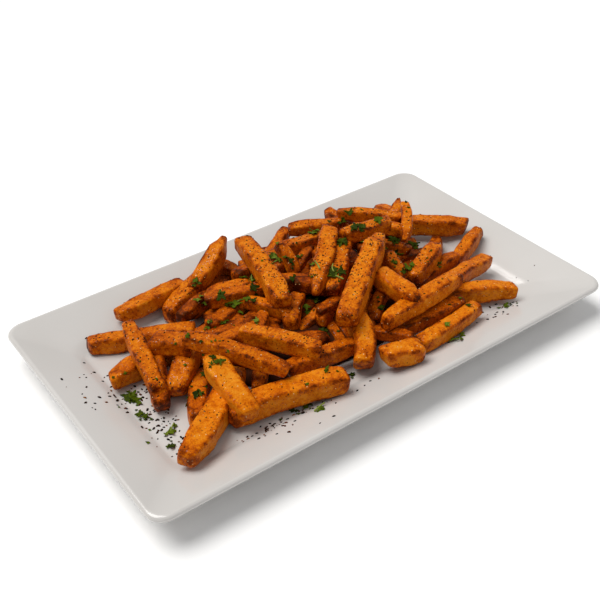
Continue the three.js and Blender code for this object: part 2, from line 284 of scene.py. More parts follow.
# the platter's sizes
platter = {
    "long": 310,
    "wide": 183,
    "corner": 10,
    "rimTop": 21,
    "rimTilt": math.radians(20.8),
    "lip": 1.95,
    "lipSteps": 18,
    "creaseInset": 27,
    "wellCorner": 12,
    "floor": 9,
    "wall": 5,
    "footInset": 37,
    "footWidth": 4,
    "footHeight": 2,
    "footRun": 6,  # from the foot's inner side to where the flat underside begins
    "footBevels": (0.4, 0.6),
    "footFlare": (1.5, 0.6),
    "underRun": 6,  # how far the underside's crease is rounded
    "creaseRun": 8,
    "floorRun": 9,
    "underSteps": 3,
    "wellSteps": 5,
    "cornerSteps": 14,
}
slope = math.tan(platter["rimTilt"])
lipZ = platter["rimTop"] - platter["lip"]
slopeTop = lipZ + platter["lip"] * math.cos(platter["rimTilt"])
slopeInset = platter["lip"] * (1 + math.sin(platter["rimTilt"]))
creaseZ = slopeTop - (platter["creaseInset"] - slopeInset) * slope


def platterTop(x, y):
    p = platter
    inset = np.minimum(p["long"] / 2 - np.abs(x), p["wide"] / 2 - np.abs(y))
    wall = creaseZ - (inset - p["creaseInset"]) / p["wall"] * (creaseZ - p["floor"])
    rim = creaseZ + (p["creaseInset"] - inset) * slope
    low = np.where(inset >= p["creaseInset"] + p["wall"], p["floor"], wall)
    return np.where(inset >= p["creaseInset"], low, rim)


def platterRing(inset, z):
    p = platter
    along = min(inset / p["creaseInset"], 1)
    radius = (p["corner"] - p["lip"] * along) * (1 - along) + p["wellCorner"] * along
    ring = []
    for sx, sy, start in ((1, 1, 0), (-1, 1, 90), (-1, -1, 180), (1, -1, 270)):
        x = sx * (p["long"] / 2 - inset - radius)
        y = sy * (p["wide"] / 2 - inset - radius)
        for k in range(p["cornerSteps"] + 1):
            angle = math.radians(start + 90 * k / p["cornerSteps"])
            ring.append((x + radius * math.cos(angle), y + radius * math.sin(angle), z))
    return ring


def softBend(points, steps):
    # rounds the corners of a short line of (inset, z) points
    made = [points[0]]
    for before, here, after in zip(points, points[1:], points[2:]):
        for k in range(steps + 1):
            t = k / steps
            a = [before[i] * 0.25 + here[i] * 0.75 for i in (0, 1)]
            b = [after[i] * 0.25 + here[i] * 0.75 for i in (0, 1)]
            ab = [a[i] * (1 - t) ** 2 + 2 * here[i] * t * (1 - t) + b[i] * t * t for i in (0, 1)]
            made.append(tuple(ab))
    made.append(points[-1])
    return made


def makePlatter(material):
    p = platter
    thick = 2 * p["lip"]
    outer, inner, high = p["footInset"], p["footInset"] + p["footWidth"], p["footHeight"]
    foot = [
        (inner + p["footRun"], high),
        (inner, high),
        (inner - p["footBevels"][0], 0),
        (outer + p["footBevels"][1], 0),
        (outer - p["footFlare"][0], high + p["footFlare"][1]),
        (p["creaseInset"] + p["wall"], p["floor"] - thick - 1),
        (p["creaseInset"] + 1, creaseZ - thick),
        (p["creaseInset"] - p["underRun"], creaseZ - thick + (p["underRun"] + 1) * slope),
    ]
    path = softBend(foot, p["underSteps"])
    start = -math.pi / 2 + p["rimTilt"]
    for k in range(p["lipSteps"] + 1):
        angle = start + math.pi * k / p["lipSteps"]
        path.append((p["lip"] * (1 - math.cos(angle)), lipZ + p["lip"] * math.sin(angle)))
    crease = p["creaseInset"]
    well = [
        (crease - p["creaseRun"], creaseZ + p["creaseRun"] * slope),
        (crease, creaseZ),
        (crease + p["wall"], p["floor"]),
        (crease + p["wall"] + p["floorRun"], p["floor"]),
    ]
    path += softBend(well, p["wellSteps"])
    points = [(0, 0, high)]
    rings = [platterRing(inset, z) for inset, z in path]
    for ring in rings:
        points += ring
    points.append((0, 0, p["floor"]))
    return meshObject("platter_dish", points, ringFaces(len(rings), len(rings[0])), material)


def glazeMaterial():
    shade = Shade("white_glaze")
    cloud = shade.noise(60, 2)
    ripple = shade.noise(14, 2)
    grain = shade.noise(0.8, 2)
    colour = shade.mix(cloud.step(0.3, 0.7), (0.575, 0.554, 0.532), (0.605, 0.587, 0.567))
    sockets = {"Base Color": colour, "Roughness": 0.16 + 0.1 * cloud}
    sockets["Coat Weight"] = 0.35
    sockets["Coat Roughness"] = 0.12
    return shade.finish(sockets, ripple + 0.05 * grain, 0.12, 0.35)


# One row for a fry: its two ends, x y z and x y z, and its thickness,
# then how wide it is for its height, the sizes of its two ends, a sideways bend in mm,
# how brown it is from -1 to 1, and how much pepper it carries from 0 to 1.
onThePlatter = [
    (-119.5, 55, 14, -63, 27.5, 15, 10, 1.0, 0.84, 0.9, 0, 0.1, 0.2),
    (-124, 16.5, 14, -70, 20.5, 14, 11.5, 1.0, 0.72, 0.9, 0, 0.15, 0.25),
    (-77, -6, 14, -102, -39, 14, 9.5, 0.95, 0.9, 0.9, 0, 0.3, 0.3),
    (-65, -20.5, 15, -123, -63.5, 16, 12, 1.0, 0.9, 0.8, 0.5, -0.35, 0.3),
    (-88.5, -47.5, 14, -22.5, -64, 14, 11.8, 1.0, 0.85, 0.9, 3.5, -0.1, 0.25),
    (1, -65, 13, 25, -71, 15, 10.5, 1.05, 0.9, 0.9, 0, -0.3, 0.1),
    (81, -58, 14, 28, -65, 15, 9, 1.0, 0.85, 0.95, 0, -0.15, 0.15),
    (111.5, -59.5, 14, 67, -36, 17, 10, 1.0, 0.8, 0.95, 0, -0.2, 0.1),
    (138, -1.5, 21, 90.5, -20.5, 16, 8.6, 0.95, 0.8, 0.9, 0, 0.15, 0.2),
    (100.5, 42, 18, 134.5, 6.5, 20, 10.5, 0.95, 0.85, 0.85, 0, 0.1, 0.3),
    (-95, 64, 15, -47.5, 67.5, 19, 9.5, 1.05, 0.8, 0.85, 0, 0.1, 0.15),
    (-62, -37, 14, -41, -17, 14, 8, 1.0, 0.9, 0.9, 0, 0.4, 0.2),
]
inTheMiddle = [
    (-94, 19, 22, -110.5, -18.5, 14, 11, 0.95, 0.9, 0.85, 0, 0.35, 0.3),
    (-18, 70, 20, -10, 38, 17, 7.5, 1.0, 0.9, 0.9, 0, 0.3, 0.2),
    (75, -52, 21, 20.5, -46.5, 19, 8, 1.1, 0.8, 0.9, 0, 0.7, 0.2),
    (43, -20, 29, 20, -35, 20, 7.5, 1.0, 0.9, 0.8, 0, 0.5, 0.3),
    (-77.5, 6.5, 24, -101, -13.5, 14, 12, 1.0, 0.9, 0.85, 0, 0.1, 0.4),
    (-46, -40, 21, 0, -45.5, 21, 9, 1.0, 0.9, 0.85, 0, 0.45, 0.4),
    (26, -65.5, 24, 10, -38, 20, 6.5, 1.0, 0.8, 0.85, 0, 0.7, 0.2),
    (9, -27, 28, -7.5, -59, 14, 13, 0.9, 0.85, 0.95, 2.5, -0.25, 0.15),
    (100, -20, 25, 64, -22, 22, 8.5, 1.0, 0.8, 0.9, 0, 0.55, 0.4),
    (120, -26.5, 18, 70, -38, 26, 9, 1.0, 0.85, 0.95, 0, -0.05, 0.2),
    (33.5, 71, 26, 4.5, 56.5, 20, 7.5, 1.0, 0.85, 0.9, 0, 0.4, 0.4),
    (-22, 68, 21, -70, 50, 15, 11.2, 1.0, 0.9, 0.85, 0, 0.15, 0.6),
    (-46, 41, 24, -21, 33, 26, 8.5, 1.0, 0.9, 0.9, 0, 0.15, 0.4),
    (66, 70, 28, 69, 46, 25, 7.5, 1.0, 0.85, 0.9, 0, 0.4, 0.3),
    (101, 60, 23, 102, 39, 27, 7, 1.0, 0.8, 0.9, 0, 0.3, 0.3),
    (106.5, 44, 36, 82, 29, 23, 8.5, 0.85, 0.35, 0.9, 0, 0.2, 0.3),
    (35, -9, 24, 15, -37, 17, 9, 1.0, 0.9, 0.85, 0, 0.4, 0.3),
    (1, -15, 18, -3, -39, 14, 7, 1.0, 0.9, 0.8, 0, 0.5, 0.3),
    (-32, 20, 27, -17, -7, 26, 7.5, 1.0, 0.85, 0.9, 0, 0.3, 0.5),
    (-4, 5.5, 27, -22, -12, 22, 10.5, 0.95, 0.85, 0.8, 0, 0.35, 0.4),
    (1, -9, 23, -17, -11, 17, 6.5, 1.0, 0.9, 0.9, 0, 0.5, 0.4),
]
onTop = [
    (-99, 40, 30, -109, -13, 22, 9, 1.0, 0.7, 0.9, 0.8, 0.2, 0.6),
    (29.5, 64, 31, 62.5, 49, 30, 8, 1.0, 0.8, 0.85, 0, 0.25, 0.3),
    (-96, 15, 30, -81, -1, 31, 10, 1.15, 1.0, 1.0, 0, 0.25, 0.3),
    (-77, -10, 32, -80, -58.5, 21, 11.3, 1.1, 0.5, 0.8, 0.5, -0.55, 0.25),
    (-86, -3, 40, -49.5, -48, 28, 8.5, 1.05, 0.85, 0.75, 0.6, 0.3, 0.5),
    (-53, -6, 31, -26, -46, 29, 9.5, 1.0, 0.9, 0.9, 0, -0.05, 0.7),
    (79, -43, 31, 15.5, -49, 30, 9.5, 1.0, 0.85, 0.9, 0.6, -0.1, 0.4),
    (89.5, -11.5, 33, 57, -24, 28, 10, 1.0, 0.75, 0.9, 0, 0.1, 0.9),
    (39, -15, 36, 40.5, -50, 35, 10.5, 1.0, 0.9, 0.6, 0, -0.1, 0.5),
    (63, 55, 35, 93, 24, 34, 7, 1.0, 0.8, 0.85, 0, 0.1, 0.7),
    (73, 31, 33, 85, 12, 33, 7.5, 1.0, 0.9, 0.85, 0, 0.2, 0.7),
    (9, 45, 33, 43, 43, 31, 9, 1.0, 0.9, 0.9, 0, 0.2, 0.6),
    (7, 42, 40, 7, 24, 27, 7, 1.0, 0.8, 0.85, 0, 0.5, 0.3),
    (56, -2, 37, 55, -22, 27, 8, 1.0, 0.9, 0.85, 0, 0.3, 0.6),
    (-48, 55, 21, -14, 70, 40, 10.2, 0.95, 0.75, 0.35, -0.8, 0.0, 0.2),
    (-8.5, 59.5, 40, -21, -4, 34, 11, 1.0, 0.85, 0.85, 0, -0.05, 0.9),
    (55, 1.5, 48, -5, -41, 35, 12.5, 0.95, 0.5, 0.95, 0.3, -0.1, 1.0),
    (37, 28, 45, -3, -9, 36, 10.5, 1.0, 0.9, 0.35, 0, -0.05, 0.9),
    (41, 19, 41, 7, -13, 34, 9.5, 1.0, 0.9, 0.8, 0, 0.2, 1.0),
    (37, 16, 47, 73, 14, 44, 8.5, 1.0, 0.85, 0.85, 0, 0.1, 0.9),
    (96, 26, 42, 74.5, 2, 35.5, 8, 0.8, 0.85, 0.45, 0, 0.1, 0.6),
]
heap = {
    "gap": 0.35,
    "bow": 1.6,
    "bowTurn": 2.4,
    "endShares": (0, 0.15, 0.3, 0.45),
    "cell": 2,
    "topShare": 0.45,
}
core = {"x": 6, "y": 3, "long": 178, "wide": 92, "tall": 12, "rings": 14, "around": 64, "rough": 0.8}
fill = {
    "seed": 41,
    "tries": 6000,
    "x": (-86, 104),
    "y": (-44, 62),
    "kinds": (
        {"most": 60, "length": (36, 60), "thick": (8, 10.5)},
        {"most": 16, "length": (18, 32), "thick": (6.5, 8.5)},
    ),
    "steepest": 0.42,
    "cap": {"x": 10, "y": 18, "long": 226, "wide": 116, "tall": 28},
    "clearance": 0.66,
    "touch": 0.85,
    "sinks": (1.2, 3, 5),
    "stations": 12,
    "reach": 0.35,
    "drawSeed": 500,
    "shapeSeed": 100,
    # darker than most laid fries: painted shade for the fries that lie between them
    "brown": (0.45, 1.1),
}


def drawsFrom(seed):
    state = seed

    def draw(low, high):
        nonlocal state
        state = (state * 1664525 + 1013904223) % 4294967296
        return low + (high - low) * (state / 4294967296)

    return draw


def laid(row):
    # a fry lifted, where it has to be, until no edge of it dips into the platter
    a = np.array(row[0:3], float)
    b = np.array(row[3:6], float)
    thick = row[6]
    aside = np.array([a[1] - b[1], b[0] - a[0], 0])
    aside *= thick / 2 / np.linalg.norm(aside)
    for end, other in ((a, b), (b, a)):
        for share in heap["endShares"]:
            for side in (-1, 1):
                p = end + (other - end) * share + aside * side
                lack = float(platterTop(p[0], p[1])) + heap["gap"] + thick / 2 - p[2]
                if lack > 0:
                    end[2] += lack
    return a, b, thick


def apart(a, b, others):
    # the shortest ways between the middle line from a to b and those of the other fries
    qa, qb = others[:, 0:3], others[:, 3:6]
    d1 = b - a
    d2 = qb - qa
    r = a - qa
    aa = d1 @ d1
    bb = d2 @ d1
    c = r @ d1
    e = (d2 * d2).sum(1)
    f = (d2 * r).sum(1)
    s = np.clip((bb * f - c * e) / np.maximum(aa * e - bb * bb, 1e-9), 0, 1)
    t = np.clip((bb * s + f) / e, 0, 1)
    s = np.clip((bb * t - c) / aa, 0, 1)
    return np.linalg.norm(a + d1 * s[:, None] - qa - d2 * t[:, None], axis=1)


def domeLevel(dome, x, y):
    # 1 at a dome's middle, 0 at its rim and less outside it
    across = (x - dome["x"]) / (dome["long"] / 2)
    return 1 - across**2 - ((y - dome["y"]) / (dome["wide"] / 2)) ** 2


def coreHeight(x, y):
    level = domeLevel(core, x, y)
    return np.where(level > 0, platter["floor"] + core["tall"] * np.sqrt(np.maximum(level, 0)), 0)


def overCap(a, b, thick):
    cap = fill["cap"]
    for share in (0, 0.5, 1):
        p = a + (b - a) * share
        level = domeLevel(cap, p[0], p[1])
        if level < 0 or p[2] + thick / 2 > platter["floor"] + cap["tall"] * math.sqrt(level):
            return True
    return False


def linesOf(fries):
    # the middle lines and the thicknesses of fries, as arrays
    lines = np.array([[*a, *b] for a, b, thick in fries]).reshape(-1, 6)
    return lines, np.array([thick for a, b, thick in fries])


def fillFries(shown):
    # each fill fry is dropped on what lies below it and kept where it is clear of the laid ones
    cell = heap["cell"]
    across = np.array([platter["long"], platter["wide"]]) / 2
    columns = int(platter["long"] // cell)
    rows = int(platter["wide"] // cell)
    cx = (np.arange(columns)[:, None] + 0.5) * cell - across[0] + np.zeros((1, rows))
    cy = (np.arange(rows)[None, :] + 0.5) * cell - across[1] + np.zeros((columns, 1))
    field = np.maximum(platterTop(cx, cy), coreHeight(cx, cy))
    laidOnes, laidThick = linesOf(shown)
    draw = drawsFrom(fill["seed"])
    count = fill["stations"]
    t = (np.arange(count) + 0.5) / count * 2 - 1
    lows = t[: count // 2, None]
    highs = t[None, count // 2 :]

    def tried(kind):
        # one fry at a random place and turn, or None where it doesn't fit
        x = math.floor(draw(*fill["x"]) + 0.5)
        y = math.floor(draw(*fill["y"]) + 0.5)
        turn = draw(0, math.pi)
        half = draw(*kind["length"]) / 2
        thick = draw(*kind["thick"])
        ux, uy = math.cos(turn), math.sin(turn)
        low = np.full(count, -1.0)
        for s in (-fill["reach"], 0, fill["reach"]):
            px = x + ux * half * t - uy * thick * s
            py = y + uy * half * t + ux * thick * s
            i = np.floor((px + across[0]) / cell).astype(int)
            j = np.floor((py + across[1]) / cell).astype(int)
            low = np.maximum(low, field[i, j])
        slopes = (low[None, count // 2 :] - low[: count // 2, None]) / (highs - lows)
        middles = low[: count // 2, None] - slopes * lows
        best = np.unravel_index(np.argmax(middles), middles.shape)
        middle, rise = middles[best], slopes[best]
        if abs(rise) / half > fill["steepest"]:
            return None
        for sink in fill["sinks"]:
            z = middle + thick / 2 - sink
            ends = (x - ux * half, y - uy * half, z - rise, x + ux * half, y + uy * half, z + rise)
            a, b, _thick = laid((*ends, thick))
            if (apart(a, b, laidOnes) > fill["clearance"] * (thick + laidThick) / 2).all():
                break
        else:
            return None
        if overCap(a, b, thick):
            return None
        others, thicks = linesOf([*shown, *added])
        held = coreHeight(x, y) > 0 or (apart(a, b, others) < fill["touch"] * (thick + thicks) / 2).any()
        return (a, b, thick) if held else None

    added = []
    for kind in fill["kinds"]:
        enough = len(added) + kind["most"]
        for _ in range(fill["tries"]):
            if len(added) >= enough:
                break
            one = tried(kind)
            if one is None:
                continue
            added.append(one)
            # the field of heights rises where the fry lies
            a, b, thick = one
            run = b[:2] - a[:2]
            length = np.linalg.norm(run)
            share = ((cx - a[0]) * run[0] + (cy - a[1]) * run[1]) / length**2
            off = np.abs((cx - a[0]) * run[1] - (cy - a[1]) * run[0]) / length
            inside = (share >= 0) & (share <= 1) & (off <= thick * heap["topShare"])
            field = np.where(inside, np.maximum(field, a[2] + (b[2] - a[2]) * share + thick / 2), field)
    return added


deep = {
    "seed": 7,
    "tries": 4000,
    "most": 30,
    "length": (22, 42),
    "thick": (7.5, 9.5),
    "lift": 0.1,  # how far the middle line lies over the core, as a share of the thickness
    "clearance": 0.3,  # from the fries above
    "spacing": 0.8,  # from each other
    "drawSeed": 600,
    "shapeSeed": 200,
    # darker still: painted shade for the fries deep in the heap
    "brown": (0.8, 1.3),
}


def deepFries(others):
    # fries half sunk in the core, where the others leave it open
    draw = drawsFrom(deep["seed"])
    added = []
    lines, thicks = linesOf(others)
    spacing = np.full(len(others), deep["clearance"])
    for _ in range(deep["tries"]):
        x = core["x"] + draw(-0.5, 0.5) * core["long"]
        y = core["y"] + draw(-0.5, 0.5) * core["wide"]
        turn = draw(0, math.pi)
        half = draw(*deep["length"]) / 2
        thick = draw(*deep["thick"])
        way = np.array([math.cos(turn), math.sin(turn)]) * half
        a = np.array([x - way[0], y - way[1], 0])
        b = np.array([x + way[0], y + way[1], 0])
        for end in (a, b):
            end[2] = coreHeight(end[0], end[1]) + deep["lift"] * thick
        onCore = min(a[2], b[2]) > platter["floor"] + thick / 2
        if onCore and (apart(a, b, lines) > spacing * (thick + thicks) / 2).all():
            added.append((a, b, thick))
            lines = np.concatenate([lines, [[*a, *b]]])
            thicks = np.append(thicks, thick)
            spacing = np.append(spacing, deep["spacing"])
        if len(added) == deep["most"]:
            break
    return added


fry = {
    "around": 44,
    "stations": 58,
    "stationsEach": 1.2,  # for each mm of a shorter fry
    "endRings": ((0.0, 0.0), (0.35, 0.0), (0.66, 0.015), (0.85, 0.06), (0.95, 0.14), (1.0, 0.3)),
    "square": 5.4,  # how square the section is: 2 is round
    "squareRange": (-0.8, 1.2),
    "cornerPull": 0.085,  # how much closer the points are near the corners
    "dish": 0.04,  # how far the middles of the faces sink, as a share of the half width
    "uneven": 0.07,
    "twist": 0.14,
    "wobble": 0.6,
    "wobbleUp": 0.6,  # of the sideways one
    # where the noise of each feature starts and how long its waves are in mm
    "noise": {"width": (0, 13), "height": (50, 11), "dish": (90, 9), "aside": (130, 17), "up": (170, 19)},
    "noiseStep": 17.3,
    "bumps": ((7.0, 0.36), (3.1, 0.2), (1.4, 0.1)),  # size across and height in mm
    "bumpStart": 211,
    "bumpStep": 7,
    "bumpThick": 9,  # thinner fries have lower bumps
    "endTilt": 0.3,
    "endShift": 0.15,
    "endReach": 1.2,  # how far the tilt and the browning of an end reach, in thicknesses
    "edgeBrown": 0.8,
    "edgeSharp": 6,
    "plainEnds": (0.75, 0.92),
    "plainPepper": 0.4,
    "taper": 0.3,  # the share of the length over which an end narrows
    "taperMost": 15,
    "stout": 1.1,
}


def fryShape(a, b, thick, wide, endA, endB, bend, bow, seed):
    rng = np.random.default_rng(seed)
    run = b - a
    length = np.linalg.norm(run)
    along = run / length
    aside = np.array([-along[1], along[0], 0])
    aside /= np.linalg.norm(aside)
    up = np.cross(along, aside)
    if up[2] < 0:
        up = -up
    half = thick / 2 * fry["stout"]
    # places along the fry: close together at the ends, with flat end faces
    ends = np.array(fry["endRings"])
    stations = min(fry["stations"], round(fry["stationsEach"] * length))
    inner = np.linspace(0, 1, stations + 2)[1:-1]
    nearEnd = ends[:, 1] * thick
    reach = nearEnd[-1]
    places = np.concatenate([nearEnd, reach + inner * (length - 2 * reach), length - nearEnd[::-1]])
    shrink = np.concatenate([ends[:, 0], np.ones(len(inner)), ends[::-1, 0]])
    share = places / length
    tip = np.minimum(share, 1 - share) * length
    size = np.where(share < 0.5, endA, endB)
    taper = np.where(share < 0.5, share, 1 - share) / min(fry["taper"], fry["taperMost"] / length)
    taper = size + (1 - size) * smooth(np.clip(taper, 0, 1))
    line = np.stack([share * length, np.zeros_like(share), np.full_like(share, seed * fry["noiseStep"])], -1)
    wave = {key: softNoise(line + start, hill) for key, (start, hill) in fry["noise"].items()}
    inward = np.clip(tip / thick, 0, 1)
    width = half * wide * taper * (1 + fry["uneven"] * wave["width"])
    height = half / math.sqrt(wide) * taper * (1 + fry["uneven"] * wave["height"])
    dish = fry["dish"] * (1 + wave["dish"]) * inward
    twist = fry["twist"] * (share - 0.5) * rng.uniform(-1, 1) * 2 + fry["twist"] * 0.5 * rng.uniform(-1, 1)
    arc = 4 * share * (1 - share)
    shiftAside = (bow + bend) * arc + fry["wobble"] * wave["aside"] * inward
    shiftUp = fry["wobble"] * fry["wobbleUp"] * wave["up"] * inward
    angle = 2 * np.pi * np.arange(fry["around"]) / fry["around"]
    angle = angle + fry["cornerPull"] * np.sin(4 * angle)
    power = fry["square"] + rng.uniform(*fry["squareRange"])
    radius = (np.abs(np.cos(angle)) ** power + np.abs(np.sin(angle)) ** power) ** (-1 / power)
    corner = 0.5 - 0.5 * np.cos(4 * angle)
    radius = radius[None, :] * (1 - dish[:, None] * (1 - corner)[None, :])
    sx = radius * np.cos(angle) * (width * shrink)[:, None]
    sy = radius * np.sin(angle) * (height * shrink)[:, None]
    cosT, sinT = np.cos(twist)[:, None], np.sin(twist)[:, None]
    sx, sy = sx * cosT - sy * sinT, sx * sinT + sy * cosT
    # an end is cut a little askew
    near = np.clip(1 - tip / (fry["endReach"] * thick), 0, 1)[:, None]
    tiltA = rng.uniform(-1, 1, 2) * fry["endTilt"]
    tiltB = rng.uniform(-1, 1, 2) * fry["endTilt"]
    first = (share < 0.5)[:, None]
    skew = np.where(first, sx * tiltA[0] + sy * tiltA[1], sx * tiltB[0] + sy * tiltB[1]) * near
    skew = skew + np.where(first, 1, -1) * near * half * fry["endTilt"] * fry["endShift"]
    middle = a + along * places[:, None] + aside * shiftAside[:, None] + up * shiftUp[:, None]
    points = middle[:, None, :] + sx[..., None] * aside + sy[..., None] * up + skew[..., None] * along
    out = points - middle[:, None, :] - skew[..., None] * along
    out /= np.maximum(np.linalg.norm(out, axis=-1, keepdims=True), 1e-6)
    endFace = (1 - shrink)[:, None, None]
    out = out * (1 - endFace) + np.where(first, -1, 1)[..., None] * along * endFace
    shifted = points + fry["bumpStart"] + seed * fry["bumpStep"]
    rough = sum(amount * softNoise(shifted, cell) for cell, amount in fry["bumps"])
    points = points + out * rough[..., None] * min(thick / fry["bumpThick"], 1)
    corners = fry["edgeBrown"] * corner[None, :] ** fry["edgeSharp"]
    edge = np.maximum(corners * np.ones_like(near), near**2)
    # one point closes each end
    flat = points[1:-1].reshape(-1, 3)
    flat = np.concatenate([points[:1].mean(1), flat, points[-1:].mean(1)])
    edges = np.concatenate([[edge[0].mean()], edge[1:-1].reshape(-1), [edge[-1].mean()]])
    return flat, edges


def crustMaterial():
    shade = Shade("fried_crust")
    edge = shade.attribute("edge")
    # the brown attribute is real browning, and on the fill and deep fries also painted shade
    brown = shade.attribute("brown")
    pepper = shade.attribute("pepper")
    blotch = shade.noise(8, 3, 0.6)
    mottle = shade.noise(2.4, 4, 0.65, 0.4)
    grain = shade.noise(0.9, 3, 0.7)
    burnt = 0.33 + 0.3 * brown + 0.55 * edge * blotch.step(0.3, 0.65)
    burnt = burnt + 0.65 * (blotch - 0.5) + 1.0 * (mottle - 0.5) + 0.75 * (grain - 0.5)
    colour = shade.ramp(
        burnt,
        [
            (0.0, (0.75, 0.262, 0.015)),
            (0.25, (0.67, 0.176, 0.003)),
            (0.5, (0.46, 0.085, 0.001)),
            (0.75, (0.20, 0.029, 0.001)),
            (1.0, (0.055, 0.008, 0.001)),
        ],
    )
    near, draw = shade.cells(1.25)
    speck = (near < 0.26) * (draw < 0.05 + 0.25 * pepper)
    colour = shade.mix(speck, colour, (0.045, 0.012, 0.004))
    # pale crumbs on the crust, partly real crumbs and partly painted glints
    near, draw = shade.cells(1.6)
    crumb = (near < 0.2) * (draw > 0.9)
    colour = shade.mix(crumb, colour, (0.80, 0.52, 0.24))
    sockets = {"Base Color": colour, "Roughness": 0.32 + 0.3 * mottle}
    sockets["Coat Weight"] = 0.9 * grain.step(0.56, 0.66) * (1 - blotch.step(0.5, 0.65))
    sockets["Coat Roughness"] = 0.14
    sockets["Specular IOR Level"] = 0.14
    sockets["Specular Tint"] = (1, 0.5, 0.1, 1)
    height = mottle + 0.5 * grain + 0.4 * crumb
    return shade.finish(sockets, height, 0.5, 0.9)


def coreShadeMaterial():
    # a nearly black brown: painted shade for the gaps between the fries, on the mound under them
    shade = Shade("heap_inside")
    blotch = shade.noise(5, 3, 0.6)
    colour = shade.ramp(blotch, [(0.3, (0.014, 0.003, 0.001)), (0.7, (0.06, 0.012, 0.002))])
    sockets = {"Base Color": colour, "Roughness": 0.8, "Specular IOR Level": 0.1}
    return shade.finish(sockets, blotch, 0.8, 0.8)


def plainGroup(fries, given):
    # fries that have no row of their own, each with drawn ends and a drawn browning, darkened on these lower
    # fries as painted shade
    group = []
    for n, (a, b, thick) in enumerate(fries):
        rng = np.random.default_rng(given["drawSeed"] + n)
        ends = rng.uniform(*fry["plainEnds"], 2)
        shape = fryShape(a, b, thick, 1, *ends, 0, 0, given["shapeSeed"] + n)
        group.append((shape, rng.uniform(*given["brown"]), fry["plainPepper"]))
    return group


def makeHeap(crust, inside):
    rows = onThePlatter + inTheMiddle + onTop
    shown = [laid(row) for row in rows]
    hidden = fillFries(shown)
    print("fill fries", len(hidden))
    layers = {
        "fries_low": range(0, len(onThePlatter)),
        "fries_middle": range(len(onThePlatter), len(onThePlatter) + len(inTheMiddle)),
        "fries_top": range(len(onThePlatter) + len(inTheMiddle), len(rows)),
    }
    made = []
    for name, numbers in layers.items():
        group = []
        for n in numbers:
            a, b, thick = shown[n]
            wide, endA, endB, bend, brown, pepper = rows[n][7:13]
            bow = heap["bow"] * math.sin(heap["bowTurn"] * n)
            group.append((fryShape(a, b, thick, wide, endA, endB, bend, bow, n), brown, pepper))
        made.append(fryObject(name, group, crust))
    made.append(fryObject("fries_between", plainGroup(hidden, fill), crust))
    lowest = deepFries(shown + hidden)
    print("deep fries", len(lowest))
    made.append(fryObject("fries_deep", plainGroup(lowest, deep), crust))
    # the core, a dark mound whose colour is painted shade
    made.append(makeCore(inside))
    return made


def fryObject(name, group, material):
    points, faces, edge, brown, pepper = [], [], [], [], []
    count = 0
    for (flat, edges), tone, seasoned in group:
        rings = (len(flat) - 2) // fry["around"]
        faces += ringFaces(rings, fry["around"], count)
        points.append(flat)
        edge.append(edges)
        brown.append(np.full(len(flat), tone))
        pepper.append(np.full(len(flat), seasoned))
        count += len(flat)
    given = {"edge": np.concatenate(edge), "brown": np.concatenate(brown), "pepper": np.concatenate(pepper)}
    return meshObject(name, np.concatenate(points), faces, material, given)


# the dark mound under the fries, put there as painted shade for the heap's gaps
def makeCore(material):
    rings, around = core["rings"], core["around"]
    points = [(core["x"], core["y"], platter["floor"] + heap["gap"])]
    for r in range(rings):
        lean = math.pi / 2 * r / rings
        angle = 2 * np.pi * np.arange(around) / around
        x = core["x"] + core["long"] / 2 * math.cos(lean) * np.cos(angle)
        y = core["y"] + core["wide"] / 2 * math.cos(lean) * np.sin(angle)
        z = platter["floor"] + heap["gap"] + (core["tall"] - heap["gap"]) * math.sin(lean)
        ring = np.stack([x, y, np.full_like(x, z)], -1)
        ring[:, 2] += core["rough"] * softNoise(ring, 6) * math.sin(lean)
        points += ring.tolist()
    points.append((core["x"], core["y"], platter["floor"] + core["tall"]))
    return meshObject("heap_core", points, ringFaces(rings, around), material)


glaze = glazeMaterial()
dish = makePlatter(glaze)
print("platter made")
heapPieces = makeHeap(crustMaterial(), coreShadeMaterial())
print("heap made")

parsley = {
    "seed": 21,
    "around": 34,
    "rings": (0.3, 0.6, 0.85, 1.0),
    "thick": 0.3,
    "lift": 0.5,
    "size": 1.15,
    "beside": 3,  # smaller pieces beside each leaf
    "besideSize": (0.35, 0.75),
    "besideWay": 0.6,
    "bits": 90,  # small bits strewn near the leaves
    "bitSize": (0.6, 1.6),
    "bitLift": 0.3,
    "bitTilt": 0.5,
    "bitPale": 0.6,
    "strewn": 7,
    "edgeX": 146,  # no bit lies farther out
    "edgeY": 82,
    "liftEach": 0.1,  # more lift for each mm of a leaf's size
    "upright": 0.5,  # how much a leaf keeps level on a slant
    "follow": 0.7,
    "tilt": 0.6,
    "paleRange": 0.25,
    "anyTurn": 6.28,
    "waist": (0.38, 0.55),
    "lobeTurn": (1.05, 1.5),
    "lobeWide": (0.42, 0.62),
    "lobeReach": (0.8, 1.08),
    "notch": 0.11,
    "notches": (8, 12),
    "fold": (0.1, 0.6),
    "wave": 0.16,
    "ripple": 0.1,
    "curl": (-0.1, 0.3),
    "phase": 6,
}
stem = {
    "rings": 7,
    "around": 8,
    "bend": 0.16,
    "rise": 0.6,
    "radius": 0.5,
    "taper": 0.25,
    "tilt": 0.2,
    "lift": 0.5,
    "pale": 0.95,
}
